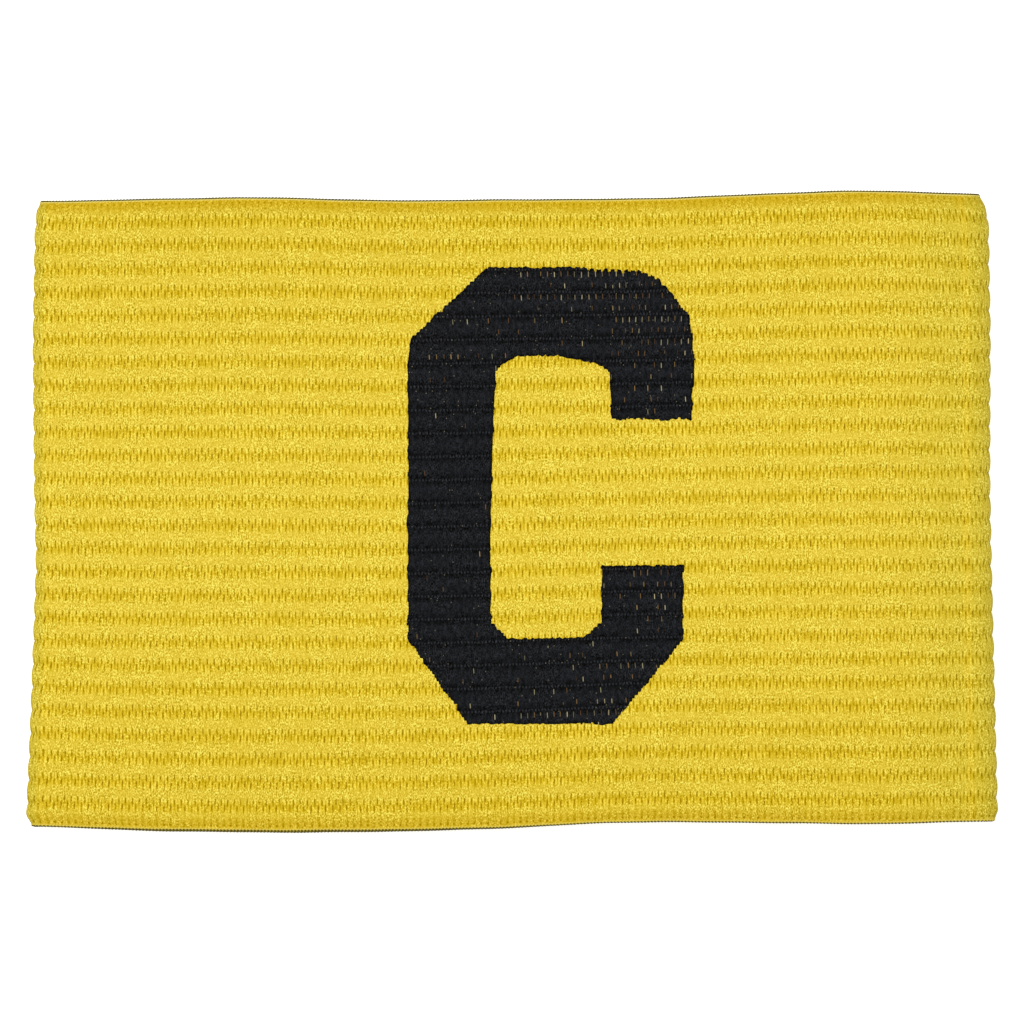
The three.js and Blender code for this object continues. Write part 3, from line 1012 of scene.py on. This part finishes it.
elastic_material(band)
turned = np.sign(cloth_line[:, :1]) * np.abs(cloth_line[:, 2:3])
carry(band, "turn", turned + 0 * section_across)

# %% [markdown]
# ## The selvage's finish
# The lip has a painted highlight on its top and painted shade on its outer side, where its own
# loops would shade it. Its map's second value runs round the cord.

# %% The selvage
# The pale yellow is each lip's painted highlight, and the shade is painted shade.
LIPS = {  # the pale yellow, how far round the shade begins, and how far the dashes swing it
    "selvage_upper": ((250, 232, 134), 0.205, 0.025),
    "selvage_lower": ((236, 210, 88), 0.185, 0.055),
}
LIP_DEEP = (210, 184, 66)
LIP_SHADE = (84, 78, 20)
SHADE_SOFTNESS = 0.035


def selvage_material(cord):
    """A painted highlight of pale yellow on the cord's top and inner side, and painted shade, dark
    and in dashes, on its outer side. The upper lip's painted highlight is the paler one."""
    w, shader, place, knit = cloth_material(cord.name + "_yellow", cord, yarn)
    u, v, _ = w.parts(place)
    outside = w.math("MINIMUM", v, w.math("SUBTRACT", 1.0, v))
    dash = w.math("COSINE", w.total((u, 4 * np.pi), (outside, -2 * np.pi)))
    lip_highlight, reach, dashes = LIPS[cord.name]
    swing = w.total((outside, 1.0), (dash, -dashes))
    # Painted shade on the cord's outer side, over a painted highlight elsewhere.
    shade = w.ramp(swing, reach + SHADE_SOFTNESS, reach - SHADE_SOFTNESS)
    pale = w.total((dash, 0.25), (knit["Fine"], 1.2), (1.0, 0.75))
    colour = w.blend(pale, paint(*LIP_DEEP), paint(*lip_highlight))
    colour = w.blend(shade, colour, paint(*LIP_SHADE))
    finish(w, shader, colour, w.total((dash, -0.1), (1.0, 0.85)))


def thread_material(piece):
    """The sewing thread: plain yellow, a little paler than the cloth, with a fine grain."""
    w, shader = new_material("seam_thread_yellow", piece)
    grain = w.add("ShaderNodeTexNoise", w.add("ShaderNodeTexCoord", output=3), None, 6000.0, 2.0)
    finish(w, shader, w.blend(grain, paint(205, 176, 50), paint(244, 222, 96)), 0.6)


for cord in selvages:
    selvage_material(cord)
thread_material(thread)

# %% [markdown]
# ## The ink's finish
# The ink is a matte near-black that lets the knit show through: faint loop heads in every groove,
# fine strokes on the ribs, and a darker rim. Its grooves take a little painted shade, and its
# glints are a faint painted highlight. Where the print is worn, stitches show bare yarn, from
# brown to off-white, each by its own chance. A few crumbs of bare yarn are strewn over all of it.

# %% The ink
INK = (27, 28, 31)
INK_STEPS = (-24, -14, 0, 18, 45)
# In the ink's tone, Glint is a faint painted highlight, and Groove a little painted shade.
INK_TONE = {"Fine": 62.0, "Broad": 22.0, "Glint": 10.0, "Head": 24.0, "Groove": -9.0, "Slit": -5.0}
RIM_TONE = -14.0
BARE_SHARE = 0.04  # of the stitches, where the print isn't worn
BARE_YARN = ((100, 72, 46), (170, 136, 80), (184, 174, 134))


def ink_material(piece):
    """One tone from the knit's parts; then the rim; then bare yarn in the openings whose chance is
    under the share that is worn there."""
    w, shader, _, knit = cloth_material("letter_ink_black", piece, stitches, yarn)
    rim = w.add("ShaderNodeAttribute", attribute_name="rim", output=2)
    worn = w.add("ShaderNodeAttribute", attribute_name="worn", output=2)
    one, two, three = w.parts(knit["Chance"])
    tone = w.total(*weighed(knit, INK_TONE), (rim, RIM_TONE))
    colour = w.tones(tone, INK, INK_STEPS)
    bare = w.math("LESS_THAN", two, w.total((worn, 1.3), (1.0, BARE_SHARE)))
    faint = w.total((one, 0.7), (1.0, 0.25))
    brown = w.blend(w.ramp(three, 0.1, 0.6), paint(*BARE_YARN[0]), paint(*BARE_YARN[1]))
    bare_yarn = w.blend(w.ramp(three, 0.45, 0.8), brown, paint(*BARE_YARN[2]))
    colour = w.blend(w.product(knit["Opening"], bare, faint), colour, bare_yarn)
    colour = w.blend(w.product(knit["Crumb"], 0.6), colour, paint(150, 142, 112))
    finish(w, shader, colour, w.total((knit["Glint"], -0.2), (rim, -0.1), (1.0, 0.9)),
           w.total((knit["Fine"], 1.0), (knit["Slit"], -0.6)))


ink_material(letter)

# %% [markdown]
# ## Table, light and camera
# The photo is taken from straight above in even, soft light, on clean white. A table that glows a
# little, a soft lamp high over its left side and a bright room give that. The camera stands far
# off with a long lens, so that nothing leans.

# %% The table
TABLE_SIZE = 6.0

corners = np.array([(-1, -1, 0), (1, -1, 0), (1, 1, 0), (-1, 1, 0)]) * TABLE_SIZE / 2
table_top = make_piece("table_top", corners, np.array([[0, 1, 2, 3]]), {})
_, shader = new_material("table_white", table_top)
shader.inputs["Base Color"].default_value = (0.93, 0.93, 0.93, 1)
shader.inputs["Emission Color"].default_value = (1, 1, 1, 1)
for name, value in {"Roughness": 0.9, "Specular IOR Level": 0.1, "Emission Strength": 0.4}.items():
    shader.inputs[name].default_value = value

# %% The lamp and the room
world = bpy.data.worlds.new("bright_room")
bpy.context.scene.world = world
world.use_nodes = True
background = world.node_tree.nodes["Background"]
background.inputs["Color"].default_value = (1, 1, 1, 1)
background.inputs["Strength"].default_value = ROOM_LIGHT
lamp_data = bpy.data.lights.new("overhead_lamp", "AREA")
lamp_data.size = LAMP_SIZE
lamp_data.energy = LAMP_POWER
place_object("overhead_lamp", lamp_data).location = LAMP_PLACE

# %% The camera
VIEW_HEIGHT = 0.0025
VIEW_WIDTH = 0.16533  # what the picture spans at that height
LENS = 400.0  # millimetres
SENSOR = 36.0
camera_data = bpy.data.cameras.new("camera")
camera_data.lens = LENS
camera_data.sensor_width = SENSOR
camera = place_object("camera", camera_data)
camera.location = (0, 0, VIEW_HEIGHT + VIEW_WIDTH * LENS / SENSOR)
bpy.context.scene.camera = camera
bpy.context.scene.view_settings.view_transform = "Standard"
print("camera:", round(camera.location.z, 3), "m up")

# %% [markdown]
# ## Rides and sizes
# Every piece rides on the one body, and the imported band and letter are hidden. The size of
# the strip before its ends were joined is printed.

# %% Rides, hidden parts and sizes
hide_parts("band")
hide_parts("letter_print")
for piece in (band, letter, thread, *selvages):
    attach(piece, "root")
print("strip:", BAND_WIDTH, "by", round(loop_length, 4), "m before it was joined")
